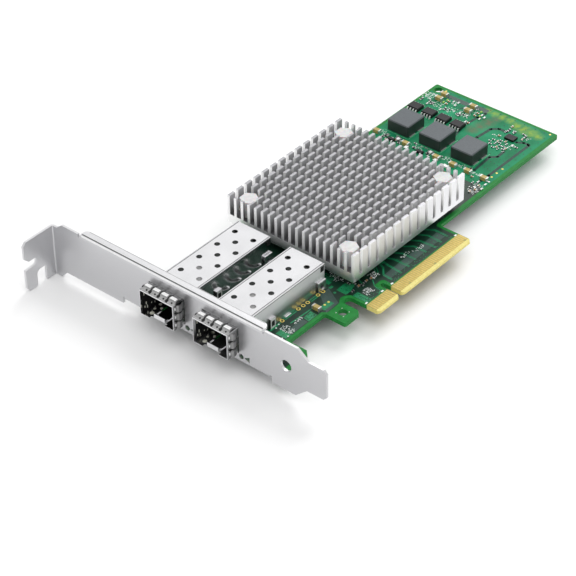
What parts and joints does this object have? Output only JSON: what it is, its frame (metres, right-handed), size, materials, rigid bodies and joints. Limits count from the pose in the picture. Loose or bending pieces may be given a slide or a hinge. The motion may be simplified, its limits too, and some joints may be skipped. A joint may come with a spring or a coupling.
{
  "type": "network interface card",
  "caption": "Add-in card that joins a server to its network: circuit board with an edge tongue, caged transceiver ports, a pin-fin heatsink and a full-height bracket.",
  "frame": {"origin": "middle of the key notch, level with the contact tips, on the component side of the board", "axes": "+X along the board from the bracket to the free end, +Y from the contact tips to the far long edge, +Z out of the component side"},
  "size_m": [0.1825, 0.121, 0.0223],
  "materials": {
    "board_laminate": "satin solder mask",
    "contact_gold": "polished gold plating",
    "bracket_steel": "satin plated sheet",
    "screw_steel": "bright zinc",
    "cage_sheet": "bright tin plating",
    "collar_spring": "bright plated spring sheet",
    "sink_aluminium": "satin extruded",
    "nylon": "natural white",
    "chip_black": "moulded",
    "pad_grey": "soft",
    "ferrite_grey": "pressed powder",
    "tin": "solder coated",
    "ceramic_tan": "fired ceramic",
    "light_lens": "clear lens"
  },
  "bodies": {
    "root": {"bracket": "bracket_steel", "bracket_screws": "screw_steel", "cage_base_1": "cage_sheet", "cage_base_2": "cage_sheet", "cage_cover_1": "cage_sheet", "cage_cover_2": "cage_sheet", "capacitor_ends": "tin", "ceramic_capacitors": "ceramic_tan", "chip_part_ends": "tin", "chip_parts": "chip_black", "circuit_board": "board_laminate", "controller_chip": "chip_black", "edge_contacts": "contact_gold", "emi_collar_1": "collar_spring", "emi_collar_2": "collar_spring", "heatsink": "sink_aluminium", "heatsink_nuts": "nylon", "heatsink_pillars": "nylon", "inductor_terminals": "tin", "port_connector_1": "chip_black", "port_connector_2": "chip_black", "port_contacts_1": "contact_gold", "port_contacts_2": "contact_gold", "port_lights": "light_lens", "power_inductors": "ferrite_grey", "power_transistors": "chip_black", "regulator_chip": "chip_black", "small_transistor_leads": "tin", "small_transistors": "chip_black", "thermal_pad": "pad_grey", "transistor_leads": "tin"}
  },
  "joints": []
}
